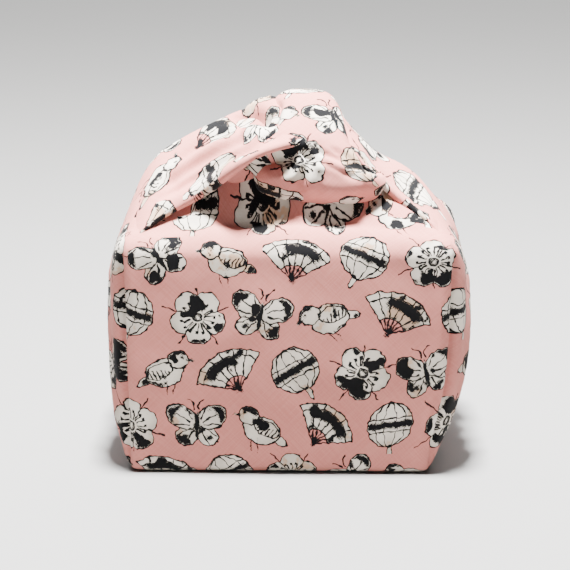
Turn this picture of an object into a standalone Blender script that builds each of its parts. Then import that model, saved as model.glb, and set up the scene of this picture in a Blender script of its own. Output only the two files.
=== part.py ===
"""Furoshiki wrap: one square cloth folded round a box shape and tied once on top.

Metres, +Z up. The origin is the middle of the flat base. The front panel faces -Y.
The cloth is one hollow shell: four walls, a top flap and a base, drawn up into two bands
that cross in one knot. The mouth is the slot behind the knot.
"""
import math

import bmesh
import bpy
from mathutils import Vector

# Driving dimensions of the wrapped body
HALF_WIDTH = 0.080      # front panel, middle to corner crease
HALF_DEPTH = 0.056      # middle to front or back panel
TOP_EDGE_Z = 0.121      # height of the front top edge
EDGE_RADIUS = 0.0095    # roll of the cloth over every edge of the box shape
CLOTH = 0.0020          # cloth with its seam allowance
GRID_CUTS = 15          # divisions of each face of the body
GRID_CROWD = 1.5        # crowds the divisions towards the edges

# Soft forms of the walls
BASE_TAPER = {"left": 0.020, "right": 0.125}    # share by which each end of the base is narrower
BASE_TAPER_DEPTH = 0.050                        # the same from front to back
TAPER_HEIGHT = {"left": 0.030, "right": 0.034}  # height over which the walls lean out
PANEL_CROWN = 0.0025    # swell of the front and back panels
FLAP_CROWN = 0.0110     # swell of the top flap
CREASE_DEPTH = 0.0022   # valley beside each vertical corner
CREASE_ANGLE = 0.95     # radians from the panel to the valley
CREASE_SPREAD = 0.34
FOLD_HEIGHT = 0.0016    # gathers down the side walls
FOLD_COUNT = 3.5

# Side swell beyond the corner creases, by share of the wall height
SIDE_SWELL = (
    # share, swell
    (0.00, 0.0040),
    (0.08, 0.0065),
    (0.30, 0.0092),
    (0.60, 0.0112),
    (0.80, 0.0104),
    (0.90, 0.0082),
    (1.00, 0.0045),
)
SWELL_POWER = 0.7       # under 1 carries the swell further over the rounded edges

# Top line of the two bands, from the left shoulder over the knot to the right shoulder
RIDGE = (
    # x, z
    (-0.0930, 0.100),
    (-0.0885, 0.112),
    (-0.0826, 0.127),
    (-0.0769, 0.138),
    (-0.0702, 0.146),
    (-0.0562, 0.154),
    (-0.0423, 0.161),
    (-0.0257, 0.169),
    (-0.0076, 0.175),
    (0.0100, 0.177),
    (0.0226, 0.171),
    (0.0326, 0.160),
    (0.0436, 0.149),
    (0.0602, 0.140),
    (0.0726, 0.131),
    (0.0809, 0.122),
    (0.0866, 0.112),
    (0.0930, 0.098),
)

# Where the cloth starts to rise towards the ridge, in front and behind
FOOT = (
    # x, front_y, back_y
    (-0.0930, -0.058, 0.040),
    (-0.0826, -0.054, 0.037),
    (-0.0660, -0.049, 0.035),
    (-0.0460, -0.046, 0.034),
    (0.0000, -0.045, 0.034),
    (0.0480, -0.045, 0.034),
    (0.0640, -0.048, 0.035),
    (0.0809, -0.053, 0.037),
    (0.0930, -0.058, 0.040),
)
RIDGE_Y = 0.002
RIDGE_ROUND = 2.0
FOOT_EASE = 1.5

# The bands: folded front edge and back edge of each, from the shoulder into the knot
BAND_EDGES = {
    "left": (
        # x, front_y, front_z, back_y, rise
        (-0.0790, -0.0500, 0.1150, 0.0330, -0.0015),
        (-0.0720, -0.0480, 0.1230, 0.0320, 0.0010),
        (-0.0655, -0.0450, 0.1280, 0.0310, 0.0035),
        (-0.0570, -0.0415, 0.1330, 0.0300, 0.0045),
        (-0.0457, -0.0385, 0.1385, 0.0290, 0.0050),
        (-0.0350, -0.0365, 0.1450, 0.0280, 0.0050),
        (-0.0265, -0.0345, 0.1510, 0.0270, 0.0050),
        (-0.0175, -0.0320, 0.1575, 0.0260, 0.0050),
        (-0.0050, -0.0280, 0.1610, 0.0250, 0.0045),
        (0.0100, -0.0200, 0.1640, 0.0240, 0.0030),
    ),
    "right": (
        # x, front_y, front_z, back_y, rise
        (0.0790, -0.0490, 0.1150, 0.0330, -0.0015),
        (0.0720, -0.0420, 0.1250, 0.0320, 0.0010),
        (0.0660, -0.0360, 0.1300, 0.0310, 0.0035),
        (0.0600, -0.0325, 0.1345, 0.0300, 0.0045),
        (0.0540, -0.0305, 0.1385, 0.0290, 0.0050),
        (0.0480, -0.0300, 0.1440, 0.0280, 0.0050),
        (0.0420, -0.0300, 0.1500, 0.0270, 0.0050),
        (0.0370, -0.0290, 0.1550, 0.0260, 0.0050),
        (0.0300, -0.0240, 0.1610, 0.0250, 0.0045),
        (0.0180, -0.0160, 0.1660, 0.0240, 0.0030),
    ),
}
TUCK_Z = 0.1165         # the gathered layers under the bands reach down to here
TUCK_FRONT = 0.0080     # how far they sit behind the folded front edge
TUCK_BACK = 0.0030
BAND_UNDER = 3
BACK_SHARE = 0.8        # how much of its rise a band keeps at its back edge
BAND_SIDE = 5           # divisions of each side of a band
BAND_ROUND = 1.6        # crown of a band between its edge and its ridge

# The knot's outer turn, by its outer line from the flap in front over the ridge to the flap behind
KNOT_TURN = (
    # y, z, left_x, right_x, depth of folded cloth inwards
    (-0.0380, 0.1270, -0.0180, 0.0400, 0.0160),
    (-0.0470, 0.1340, -0.0260, 0.0460, 0.0240),
    (-0.0490, 0.1450, -0.0280, 0.0480, 0.0300),
    (-0.0430, 0.1570, -0.0220, 0.0440, 0.0280),
    (-0.0340, 0.1690, -0.0130, 0.0345, 0.0220),
    (-0.0210, 0.1800, -0.0095, 0.0270, 0.0180),
    (-0.0050, 0.1855, -0.0090, 0.0240, 0.0180),
    (0.0110, 0.1830, -0.0090, 0.0240, 0.0180),
    (0.0240, 0.1720, -0.0120, 0.0280, 0.0180),
    (0.0330, 0.1560, -0.0180, 0.0340, 0.0180),
    (0.0360, 0.1400, -0.0240, 0.0420, 0.0160),
    (0.0310, 0.1240, -0.0200, 0.0400, 0.0120),
)
KNOT_RING = 14
KNOT_SQUARE = 2.2       # 2 is an oval section, more is squarer

# The mouth behind the knot
MOUTH_WIDTH = 0.110
MOUTH_DEPTH = 0.010
MOUTH_Y = 0.0425
MOUTH_CORNER = 0.003

CLOTH_COLOUR = (0.78, 0.47, 0.43, 1.0)
CLOTH_ROUGHNESS = 0.85


def between(rows, x, column):
    """Value of a table's column at x, straight between its rows."""
    if x <= rows[0][0]:
        return rows[0][column]
    for low, high in zip(rows, rows[1:]):
        if x <= high[0]:
            share = (x - low[0]) / (high[0] - low[0])
            return low[column] + (high[column] - low[column]) * share
    return rows[-1][column]


def flap_height(x, y):
    """Height of the top flap without the bands."""
    across = max(0.0, 1.0 - (x / HALF_WIDTH) ** 2)
    along = max(0.0, 1.0 - (y / HALF_DEPTH) ** 2)
    return TOP_EDGE_Z + FLAP_CROWN * across * along


def band_share(x, y):
    """How far a point lies up the ridge: 1 on top, 0 at the foot and beyond."""
    foot = between(FOOT, x, 1 if y < RIDGE_Y else 2)
    reach = abs((y - RIDGE_Y) / (foot - RIDGE_Y))
    return max(0.0, 1.0 - reach ** RIDGE_ROUND) ** FOOT_EASE


def top_height(x, y):
    """Height of the flap and the bands together."""
    flap = flap_height(x, y)
    return flap + (between(RIDGE, x, 1) - flap) * band_share(x, y)


def crowd(share):
    """Move a cube coordinate towards the nearer edge."""
    return math.copysign(1.0 - (1.0 - abs(share)) ** GRID_CROWD, share)


def drape(corner):
    """Place of a point of the unit cube on the wrapped cloth."""
    half = Vector((HALF_WIDTH, HALF_DEPTH, TOP_EDGE_Z / 2.0))
    flat = Vector(crowd(corner[i]) * half[i] for i in range(3))
    core = Vector(max(EDGE_RADIUS - half[i], min(half[i] - EDGE_RADIUS, flat[i])) for i in range(3))
    out = (flat - core).normalized()
    place = core + out * EDGE_RADIUS
    place.z += half.z
    share = place.z / TOP_EDGE_Z

    # The walls draw in a little towards the base
    side = "left" if place.x < 0.0 else "right"
    lean = math.exp(-(place.z / TAPER_HEIGHT[side]) ** 2)
    place.x *= 1.0 - BASE_TAPER[side] * lean
    place.y *= 1.0 - BASE_TAPER_DEPTH * lean

    # The side walls swell and gather, with a valley beside each corner
    around = math.atan2(abs(out.x), abs(out.y)) if abs(out.z) < 0.9 else 0.0
    across = place.y / HALF_DEPTH
    swell = between(SIDE_SWELL, share, 1) * (1.0 - across ** 4)
    swell += FOLD_HEIGHT * math.cos(2.0 * math.pi * FOLD_COUNT * across) * math.sin(math.pi * share)
    place.x += math.copysign(abs(out.x) ** SWELL_POWER, out.x) * swell
    place.y += out.y * PANEL_CROWN * (1.0 - (place.x / HALF_WIDTH) ** 2) * math.sin(math.pi * share)
    valley = CREASE_DEPTH * math.exp(-((around - CREASE_ANGLE) / CREASE_SPREAD) ** 2)
    place -= Vector((out.x, out.y, 0.0)) * valley * math.sin(math.pi * share)

    # The top edge and the walls under it follow the flap and the bands
    place.z += (top_height(place.x, place.y) - TOP_EDGE_Z) * share ** 3
    return place


def wrapped_body(material):
    """The closed cloth shell without its mouth."""
    mesh = bmesh.new()
    bmesh.ops.create_cube(mesh, size=2.0)
    bmesh.ops.subdivide_edges(mesh, edges=mesh.edges[:], cuts=GRID_CUTS, use_grid_fill=True)
    for vert in mesh.verts:
        vert.co = drape(vert.co)
    bmesh.ops.recalc_face_normals(mesh, faces=mesh.faces[:])
    body = add_object("furoshiki_cloth", mesh, material)
    wall = body.modifiers.new("cloth", "SOLIDIFY")
    wall.thickness = CLOTH
    wall.offset = -1.0
    return body


def band_section(row):
    """One ring of a band: over the outside from the front edge, then back along the inside."""
    x, front_y, front_z, back_y, rise = row
    front = Vector((x, front_y, front_z))
    ridge = Vector((x, RIDGE_Y, between(RIDGE, x, 1) + rise))
    back = Vector((x, back_y, top_height(x, back_y) + rise * BACK_SHARE))
    outside = []
    for step in range(2 * BAND_SIDE + 1):
        edge = front if step <= BAND_SIDE else back
        reach = abs(step - BAND_SIDE) / BAND_SIDE
        y = ridge.y + (edge.y - ridge.y) * reach
        outside.append(Vector((x, y, ridge.z + (edge.z - ridge.z) * reach ** BAND_ROUND)))
    inside = []
    for step in range(BAND_UNDER + 1):
        share = step / BAND_UNDER
        y = (back_y - TUCK_BACK) * (1.0 - share) + (front_y + TUCK_FRONT) * share
        inside.append(Vector((x, y, TUCK_Z)))
    return outside + inside


def loft(name, sections, material):
    """A closed solid through rings of points, made by extruding its first end."""
    mesh = bmesh.new()
    bmesh.ops.create_circle(mesh, cap_ends=True, segments=len(sections[0]), radius=1.0)
    face = mesh.faces[:][0]
    for index, section in enumerate(sections):
        if index:
            made = bmesh.ops.extrude_face_region(mesh, geom=[face])
            if index > 1:
                bmesh.ops.delete(mesh, geom=[face], context="FACES_ONLY")
            face = next(item for item in made["geom"] if isinstance(item, bmesh.types.BMFace))
        for vert, place in zip(face.verts, section):
            vert.co = place
    bmesh.ops.recalc_face_normals(mesh, faces=mesh.faces[:])
    solid = add_object(name, mesh, material)
    hide_tool(solid)
    return solid


def knot_section(row, ahead):
    """One ring of the knot's outer turn, across the way that it runs."""
    y, z, left_x, right_x, depth = row
    middle = (left_x + right_x) / 2.0
    reach = (right_x - left_x) / 2.0
    ring = []
    for step in range(KNOT_RING):
        angle = 2.0 * math.pi * step / KNOT_RING
        power = 2.0 / KNOT_SQUARE
        side = math.copysign(abs(math.cos(angle)) ** power, math.cos(angle))
        rise = math.copysign(abs(math.sin(angle)) ** power, math.sin(angle))
        outward = Vector((0.0, -ahead.z, ahead.y))
        surface = Vector((middle + reach * side, y, z))
        ring.append(surface + outward * (rise - 1.0) * depth / 2.0)
    return ring


def knot_sections():
    """Rings of the turn of cloth that wraps the crossing bands."""
    sections = []
    for index, row in enumerate(KNOT_TURN):
        before = KNOT_TURN[max(index - 1, 0)]
        after = KNOT_TURN[min(index + 1, len(KNOT_TURN) - 1)]
        ahead = Vector((0.0, after[0] - before[0], after[1] - before[1])).normalized()
        sections.append(knot_section(row, ahead))
    return sections


def mouth_cutter(material):
    """The slot through the flap behind the knot."""
    mesh = bmesh.new()
    bmesh.ops.create_cube(mesh, size=1.0)
    bmesh.ops.scale(mesh, vec=(MOUTH_WIDTH, MOUTH_DEPTH, TOP_EDGE_Z / 2.0), verts=mesh.verts[:])
    bmesh.ops.translate(mesh, vec=(0.0, MOUTH_Y, TOP_EDGE_Z), verts=mesh.verts[:])
    upright = [edge for edge in mesh.edges if abs(edge.verts[0].co.z - edge.verts[1].co.z) > CLOTH]
    bmesh.ops.bevel(mesh, geom=upright, offset=MOUTH_CORNER, segments=3, profile=0.5, affect="EDGES")
    cutter = add_object("mouth_cutter", mesh, material)
    hide_tool(cutter)
    return cutter


def add_object(name, mesh, material):
    """Link a finished mesh under its name."""
    data = bpy.data.meshes.new(name)
    mesh.to_mesh(data)
    mesh.free()
    data.materials.append(material)
    item = bpy.data.objects.new(name, data)
    bpy.context.collection.objects.link(item)
    return item


def hide_tool(item):
    """Mark an object that only shapes another."""
    item.hide_render = True
    item.display_type = "WIRE"


def combine(body, tool, operation):
    """Add or cut a tool."""
    step = body.modifiers.new(tool.name, "BOOLEAN")
    step.object = tool
    step.operation = operation
    step.solver = "EXACT"


def cloth_material():
    """Pink cotton."""
    material = bpy.data.materials.new("pink_cotton")
    material.use_nodes = True
    shader = material.node_tree.nodes["Principled BSDF"]
    shader.inputs["Base Color"].default_value = CLOTH_COLOUR
    shader.inputs["Roughness"].default_value = CLOTH_ROUGHNESS
    shader.inputs["Metallic"].default_value = 0.0
    return material


def clear_scene():
    """Remove whatever the scene holds."""
    for item in list(bpy.data.objects):
        bpy.data.objects.remove(item, do_unlink=True)


def main():
    """Build the cloth as one solid."""
    clear_scene()
    material = cloth_material()
    body = wrapped_body(material)
    combine(body, mouth_cutter(material), "DIFFERENCE")
    for side, rows in BAND_EDGES.items():
        sections = [band_section(row) for row in rows]
        combine(body, loft("band_" + side, sections, material), "UNION")
    combine(body, loft("knot_turn", knot_sections(), material), "UNION")


main()
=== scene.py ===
"""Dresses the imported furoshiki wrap: knotted cloth with its print, a pale floor and soft light."""

import logging
import math
from collections.abc import Callable, Sequence
from dataclasses import dataclass
from enum import Enum

import bmesh
import bpy
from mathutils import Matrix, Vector, noise


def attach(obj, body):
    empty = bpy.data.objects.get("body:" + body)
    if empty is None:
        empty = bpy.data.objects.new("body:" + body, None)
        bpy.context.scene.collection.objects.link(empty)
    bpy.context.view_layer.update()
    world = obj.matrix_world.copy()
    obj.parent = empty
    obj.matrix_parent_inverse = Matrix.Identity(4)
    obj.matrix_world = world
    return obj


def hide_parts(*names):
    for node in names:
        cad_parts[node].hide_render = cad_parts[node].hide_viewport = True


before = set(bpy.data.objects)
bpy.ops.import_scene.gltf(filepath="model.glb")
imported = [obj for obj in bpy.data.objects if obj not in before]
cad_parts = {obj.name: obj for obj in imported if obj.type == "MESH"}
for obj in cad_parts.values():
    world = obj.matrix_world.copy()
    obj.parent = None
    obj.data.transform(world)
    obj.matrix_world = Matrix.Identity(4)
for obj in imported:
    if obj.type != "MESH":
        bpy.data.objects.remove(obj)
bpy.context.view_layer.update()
LOG = logging.getLogger("furoshiki")

NODE = "furoshiki_cloth"
UV_NAME = "cloth_map"
MM = 0.001
VIEW_POINT = Vector((-0.0024, -0.9659, 0.3418))
CREASE_REACH = 3.0
CREASE_FADE = 5.0
CREASE_END = 0.15
RIPPLE_SCALE = 45.0
RIPPLE_HEIGHT = 0.0006
KNOT_RIPPLES = 1.4
SHOULDER_STRETCH = 1.15
SHOULDER_FROM = 0.045
SHOULDER_BY_MOUTH = 0.060
SHOULDER_BACK = 0.030
FLAP_UNDER_BAND = 0.006
FLAT_BASE = 0.0015
NEAR_TOP = 0.999
NEARLY_UPRIGHT = 0.9
SEEN_FROM_FRONT = 0.01
KNOT_MAP_U = 0.018
KNOT_MAP_V = 0.160
INNER_MAP_V = -0.3

Linear = tuple[float, float, float, float]
Place = tuple[float, float, float]
Spot = tuple[float, float]
Vert = bmesh.types.BMVert
Socket = bpy.types.NodeSocket
Source = "Value | Socket | float | tuple"


class Panel(Enum):
    """Parts of the flat cloth that each side of the wrapped box shows."""

    FRONT = "front"
    BACK = "back"
    LEFT = "left"
    RIGHT = "right"
    TOP = "top"
    BASE = "base"
    SHOULDER = "shoulder"
    REAR_LIP = "rear lip"


class Rows:
    """A table of rows, read smoothly between them."""

    def __init__(self, *rows: tuple[float, ...]) -> None:
        """Keep the rows.

        Args:
            rows: The place of each row first, rising, and then its values.
        """
        self.rows = rows

    def slope(self, index: int, column: int) -> float:
        """Slope of a column between a row's neighbours."""
        before, after = self.rows[max(index - 1, 0)], self.rows[min(index + 1, len(self.rows) - 1)]
        return (after[column] - before[column]) / (after[0] - before[0])

    def at(self, place: float, column: int = 1) -> float:
        """Value of a column.

        Args:
            place: Where to read, in the units of the first column.
            column: The column to read.

        Returns:
            The value on a smooth curve through the rows.
        """
        rows = self.rows
        if place <= rows[0][0]:
            return rows[0][column]
        if place >= rows[-1][0]:
            return rows[-1][column]
        low = next(i for i in range(len(rows) - 1) if place <= rows[i + 1][0])
        step = rows[low + 1][0] - rows[low][0]
        t = (place - rows[low][0]) / step
        start, end = rows[low][column], rows[low + 1][column]
        lean_in, lean_out = self.slope(low, column) * step, self.slope(low + 1, column) * step
        rise = 3 * t ** 2 - 2 * t ** 3
        return (
            start * (1 - rise)
            + end * rise
            + lean_in * (t ** 3 - 2 * t ** 2 + t)
            + lean_out * (t ** 3 - t ** 2)
        )


@dataclass(frozen=True)
class Crease:
    """A soft trough or ridge along a line, in millimetres, steeper on its upper side if sharp."""

    line: tuple[tuple[float, float], ...]
    height: float
    width: float
    sharp: float = 1.0

    def lift(self, u: float, v: float) -> float:
        """Height of the crease at a point.

        Args:
            u: First coordinate, in metres.
            v: Second coordinate, in metres.

        Returns:
            The lift in metres, below zero in a trough.
        """
        u, v = u / MM, v / MM
        best = math.inf
        along = 0.0
        upper = False
        for index, ((u0, v0), (u1, v1)) in enumerate(zip(self.line, self.line[1:])):
            du, dv = u1 - u0, v1 - v0
            t = max(0.0, min(1.0, ((u - u0) * du + (v - v0) * dv) / (du * du + dv * dv)))
            gap = (u - u0 - t * du) ** 2 + (v - v0 - t * dv) ** 2
            if gap < best:
                best = gap
                upper = du * (v - v0) > dv * (u - u0)
                along = (index + t) / (len(self.line) - 1)
        if best > (CREASE_REACH * self.width) ** 2:
            return 0.0
        fade = min(1.0, CREASE_FADE * min(along, 1.0 - along) + CREASE_END)
        width = self.width * (self.sharp if upper else 1.0)
        return self.height * MM * fade * math.exp(-best / width ** 2)


def creases(*rows: tuple) -> tuple[Crease, ...]:
    """Creases from rows of a line, a height, a width and, in some, a sharpness."""
    return tuple(Crease(*row) for row in rows)


def lifts(folds: Sequence[Crease], u: float, v: float) -> float:
    """Sum of several creases at a point, all in metres."""
    return sum(crease.lift(u, v) for crease in folds)


def ripple(place: Vector, fineness: float = 1.0) -> float:
    """Height of the cloth's small ripples at a place."""
    return noise.noise(place * RIPPLE_SCALE * fineness) * RIPPLE_HEIGHT


def sight(place: Vector) -> Spot:
    """Where the line of sight to a point meets the box's middle plane, to the right and up."""
    seen = VIEW_POINT.lerp(place, VIEW_POINT.y / (VIEW_POINT.y - place.y))
    return seen.x, seen.z


def bow(place: float, half: float) -> float:
    """1 in the middle of a span, falling to 0 at its ends."""
    return max(0.0, 1.0 - (place / half) ** 2)


@dataclass
class Shape:
    """Driving sizes of the wrapped cloth, the same as in the part's source."""

    half_width: float = 0.080
    half_depth: float = 0.056
    top_z: float = 0.121
    edge_radius: float = 0.0095
    base_square: float = 4.0
    corner_square: float = 6.0
    cloth: float = 0.0011
    crowd: float = 1.5
    taper: Spot = (0.020, 0.125)  # left, right
    taper_height: Spot = (0.030, 0.034)  # left, right
    taper_depth: float = 0.010
    panel_crown: float = 0.0025
    flap_crown: float = 0.0135
    ridge_y: float = 0.002
    ridge_round: float = 2.0
    swell_power: float = 0.7
    swell_square: int = 7
    top_power: int = 3
    swell: Rows = Rows(
        # share of the height, swell
        (0.00, 0.0035),
        (0.08, 0.0055),
        (0.30, 0.0075),
        (0.60, 0.0093),
        (0.80, 0.0088),
        (0.90, 0.0076),
        (1.00, 0.0050),
    )
    ridge: Rows = Rows(
        # x, z
        (-0.0930, 0.100),
        (-0.0885, 0.112),
        (-0.0826, 0.127),
        (-0.0769, 0.138),
        (-0.0702, 0.146),
        (-0.0562, 0.154),
        (-0.0423, 0.161),
        (-0.0257, 0.169),
        (-0.0076, 0.175),
        (0.0100, 0.177),
        (0.0226, 0.171),
        (0.0326, 0.160),
        (0.0436, 0.149),
        (0.0602, 0.140),
        (0.0726, 0.131),
        (0.0809, 0.122),
        (0.0866, 0.112),
        (0.0930, 0.098),
    )
    foot: Rows = Rows(
        # x, front_y, back_y, steepness
        (-0.0930, -0.058, 0.040, 1.5),
        (-0.0826, -0.054, 0.037, 1.5),
        (-0.0660, -0.049, 0.035, 1.5),
        (-0.0460, -0.046, 0.034, 1.5),
        (0.0000, -0.045, 0.034, 1.4),
        (0.0480, -0.045, 0.034, 1.1),
        (0.0640, -0.048, 0.035, 1.1),
        (0.0809, -0.053, 0.037, 1.3),
        (0.0930, -0.058, 0.040, 1.5),
    )

    def flap(self, x: float, y: float) -> float:
        """Height of the top flap without the bands."""
        return self.top_z + self.flap_crown * bow(x, self.half_width) * bow(y, self.half_depth)

    def top(self, x: float, y: float) -> float:
        """Height of the flap and the cloth drawn up to the ridge.

        Args:
            x: Place to the right.
            y: Place to the back.

        Returns:
            The height.
        """
        flap = self.flap(x, y)
        foot = self.foot.at(x, 1 if y < self.ridge_y else 2)
        reach = abs((y - self.ridge_y) / (foot - self.ridge_y))
        share = max(0.0, 1.0 - reach ** self.ridge_round) ** self.foot.at(x, 3)
        return flap + (self.ridge.at(x) - flap) * share


SHAPE = Shape()


def signed_power(number: float, power: float) -> float:
    """A power of a number's size, with the number's sign."""
    return math.copysign(abs(number) ** power, number)


def power_length(first: float, second: float, power: float) -> float:
    """Length of a pair on a squarish oval, round with power 2 and squarer with more."""
    return (abs(first) ** power + abs(second) ** power) ** (1 / power)


def add_object(name: str, mesh: bmesh.types.BMesh) -> bpy.types.Object:
    """Link a finished mesh.

    Args:
        name: The object's name.
        mesh: The mesh, which is freed.

    Returns:
        The new object.
    """
    data = bpy.data.meshes.new(name)
    mesh.to_mesh(data)
    mesh.free()
    data.shade_smooth()
    item = bpy.data.objects.new(name, data)
    bpy.context.scene.collection.objects.link(item)
    return item


def press(mesh: bmesh.types.BMesh, height: Callable[[Vert], float]) -> None:
    """Push each vertex along its normal.

    Args:
        mesh: The mesh.
        height: How far a vertex moves out.
    """
    mesh.normal_update()
    moves = [(vert, vert.normal.copy() * height(vert)) for vert in mesh.verts]
    for vert, move in moves:
        vert.co += move


@dataclass
class Body:
    """The cloth round the box shape, with its top flap, its gathered sides and its mouth."""

    shape: Shape
    cuts: int = 59
    mouth_half: float = 0.054
    mouth_front: float = 0.0375
    mouth_back: float = 0.0475
    mouth_close: float = 0.80
    mouth_taper: float = 0.016
    mouth_fade: float = 0.012
    lip_reach: float = 0.014
    lip_height: float = 0.0011
    lip_width: float = 0.0020
    lip_waves: tuple[tuple[float, float, float], ...] = (
        # height, turns per metre, difference between the two lips
        (0.0008, 21.0, 1.1),
        (0.0005, 47.0, 2.3),
    )
    valley: float = 0.0016
    valley_angle: float = 0.95
    valley_spread: float = 0.30
    map_creases: tuple[Crease, ...] = creases(
        # line, height, width, sharpness
        (((-83.6, 2), (-83.2, 30), (-82.8, 70), (-83.2, 118)), -3.6, 1.5),
        (((-76, 8), (-76.5, 60), (-76, 108)), 0.6, 3.0),
        (((83, 2), (82.2, 30), (82.8, 55), (83, 80), (83.4, 118)), -3.6, 1.5),
        (((74, 8), (75, 60), (76, 105)), 0.6, 3.0),
        (((-88, 6), (-104, 60), (-122, 118)), 2.6, 5),
        (((-97, 4), (-113, 60), (-128, 118)), -2.4, 4),
        (((-112, 10), (-124, 60), (-133, 118)), 2.1, 4.5),
        (((-128, 30), (-134, 80), (-138, 118)), -2.3, 3.5),
        (((-150, 10), (-146, 60), (-142, 118)), 2.1, 4.5),
        (((-165, 4), (-155, 60), (-147, 118)), -2.6, 4.5),
        (((-182, 6), (-168, 60), (-152, 118)), 2.4, 5),
        (((88, 6), (102, 60), (120, 118)), 2.6, 5),
        (((98, 4), (112, 60), (127, 118)), -2.4, 4),
        (((114, 10), (124, 60), (132, 118)), 2.1, 4.5),
        (((131, 30), (136, 80), (138, 118)), -2.3, 3.5),
        (((152, 10), (147, 60), (142, 118)), 2.1, 4.5),
        (((166, 4), (156, 60), (147, 118)), -2.6, 4.5),
        (((184, 6), (170, 60), (152, 118)), 2.4, 5),
    )

    def flat_place(self, corner: Vector) -> Vector:
        """Place of a cube point on the sharp box, measured from its base.

        Args:
            corner: A point of the cube from -1 to 1.

        Returns:
            The place in metres.
        """
        half = (self.shape.half_width, self.shape.half_depth, self.shape.top_z / 2)
        crowded = [math.copysign(1 - (1 - abs(c)) ** self.shape.crowd, c) for c in corner]
        return Vector((crowded[0] * half[0], crowded[1] * half[1], (crowded[2] + 1) * half[2]))

    def drape(self, flat: Vector) -> Vector:
        """Place of a point of the sharp box on the cloth.

        Args:
            flat: The point on the sharp box.

        Returns:
            The draped point.
        """
        shape = self.shape
        radius = shape.edge_radius
        high = (shape.half_width - radius, shape.half_depth - radius, shape.top_z - radius)
        low = (-high[0], -high[1], radius)
        core = Vector(max(low[i], min(high[i], flat[i])) for i in range(3))
        out = (flat - core).normalized()
        square = out.copy()
        wide = math.hypot(out.x, out.y)
        if wide > 0:
            plan = power_length(out.x, out.y, shape.corner_square)
            square.x, square.y = out.x * wide / plan, out.y * wide / plan
        if out.z < 0:
            square /= power_length(wide, out.z, shape.base_square)
        place = core + square * radius
        share = place.z / shape.top_z

        side = int(place.x >= 0)
        lean = math.exp(-(place.z / shape.taper_height[side]) ** 2)
        place.x *= 1 - shape.taper[side] * lean
        place.y *= 1 - shape.taper_depth * lean

        around = math.atan2(abs(out.x), abs(out.y)) if abs(out.z) < NEARLY_UPRIGHT else 0.0
        across = place.y / shape.half_depth
        swell = shape.swell.at(share) * (1 - abs(across) ** shape.swell_square)
        place.x += signed_power(out.x, shape.swell_power) * swell
        crown = shape.panel_crown * (1 - (place.x / shape.half_width) ** 2)
        place.y += out.y * crown * math.sin(math.pi * share)
        valley = self.valley * math.exp(-((around - self.valley_angle) / self.valley_spread) ** 2)
        place -= Vector((out.x, out.y, 0)) * valley * math.sin(math.pi * share)
        place.z += (shape.top(place.x, place.y) - shape.top_z) * share ** shape.top_power
        return place

    def lip(self, flat: Vector) -> Vector:
        """Place of a point by the mouth once its lips are bent and its ends drawn together.

        Args:
            flat: The point on the sharp box.

        Returns:
            The moved point, or the same one away from the mouth.
        """
        half = (self.mouth_back - self.mouth_front) / 2
        across = flat.y - self.mouth_front - half
        beyond = abs(flat.x) - self.mouth_half
        far = abs(across) > self.lip_reach or beyond > self.mouth_fade
        if far or flat.z < self.shape.top_z * NEAR_TOP:
            return flat
        fade = min(1.0, (self.lip_reach - abs(across)) / (self.lip_reach - half))
        fade *= 1 - max(0.0, beyond) / self.mouth_fade
        drawn = max(0.0, 1 + min(0.0, beyond) / self.mouth_taper) ** 2
        side = math.copysign(1.0, across)
        shift = -side * min(abs(across), half) * self.mouth_close * drawn
        for height, turns, apart in self.lip_waves:
            shift += height * math.sin(2 * math.pi * turns * flat.x + apart * side)
        rise = self.lip_height * math.exp(-((abs(across) - half) / self.lip_width) ** 2)
        return flat + Vector((0.0, shift * fade, rise * fade))

    def panel_of(self, flat: Vector) -> Panel:
        """Panel that a face belongs to.

        Args:
            flat: The face's middle on the sharp box.

        Returns:
            The panel.
        """
        shape = self.shape
        gaps = {
            Panel.FRONT: flat.y + shape.half_depth,
            Panel.BACK: shape.half_depth - flat.y,
            Panel.LEFT: flat.x + shape.half_width,
            Panel.RIGHT: shape.half_width - flat.x,
            Panel.TOP: shape.top_z - flat.z,
            Panel.BASE: flat.z,
        }
        return min(gaps, key=gaps.get)

    def top_part(self, flat: Vector) -> Panel:
        """Part of the top that a face belongs to.

        Args:
            flat: The face's middle on the sharp box.

        Returns:
            The flap, the drawn-up shoulder or the lip behind the mouth.
        """
        if flat.y > (self.mouth_front + self.mouth_back) / 2:
            return Panel.REAR_LIP
        start = SHOULDER_FROM if flat.y < SHOULDER_BACK else SHOULDER_BY_MOUTH
        under = self.shape.foot.at(flat.x, 1) + FLAP_UNDER_BAND
        return Panel.SHOULDER if abs(flat.x) > start and flat.y > under else Panel.TOP

    def cloth_map(self, panel: Panel, flat: Vector) -> Spot:
        """Place of a point on the flat cloth.

        Args:
            panel: The panel or part of the top that shows it.
            flat: The point on the sharp box.

        Returns:
            The two coordinates in metres.
        """
        shape = self.shape
        aside = flat.y + shape.half_depth
        inward = (shape.half_width - abs(flat.x)) * SHOULDER_STRETCH
        turned = 2 * shape.half_width + 2 * shape.half_depth - flat.x
        return {
            Panel.SHOULDER: (math.copysign(shape.half_width + aside, flat.x), shape.top_z + inward),
            Panel.REAR_LIP: (turned, shape.top_z + shape.half_depth - flat.y),
            Panel.FRONT: (flat.x, flat.z),
            Panel.BACK: (turned, flat.z),
            Panel.LEFT: (-shape.half_width - aside, flat.z),
            Panel.RIGHT: (shape.half_width + aside, flat.z),
            Panel.TOP: (flat.x, shape.top_z + aside),
            Panel.BASE: (flat.x, -aside),
        }[panel]

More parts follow.
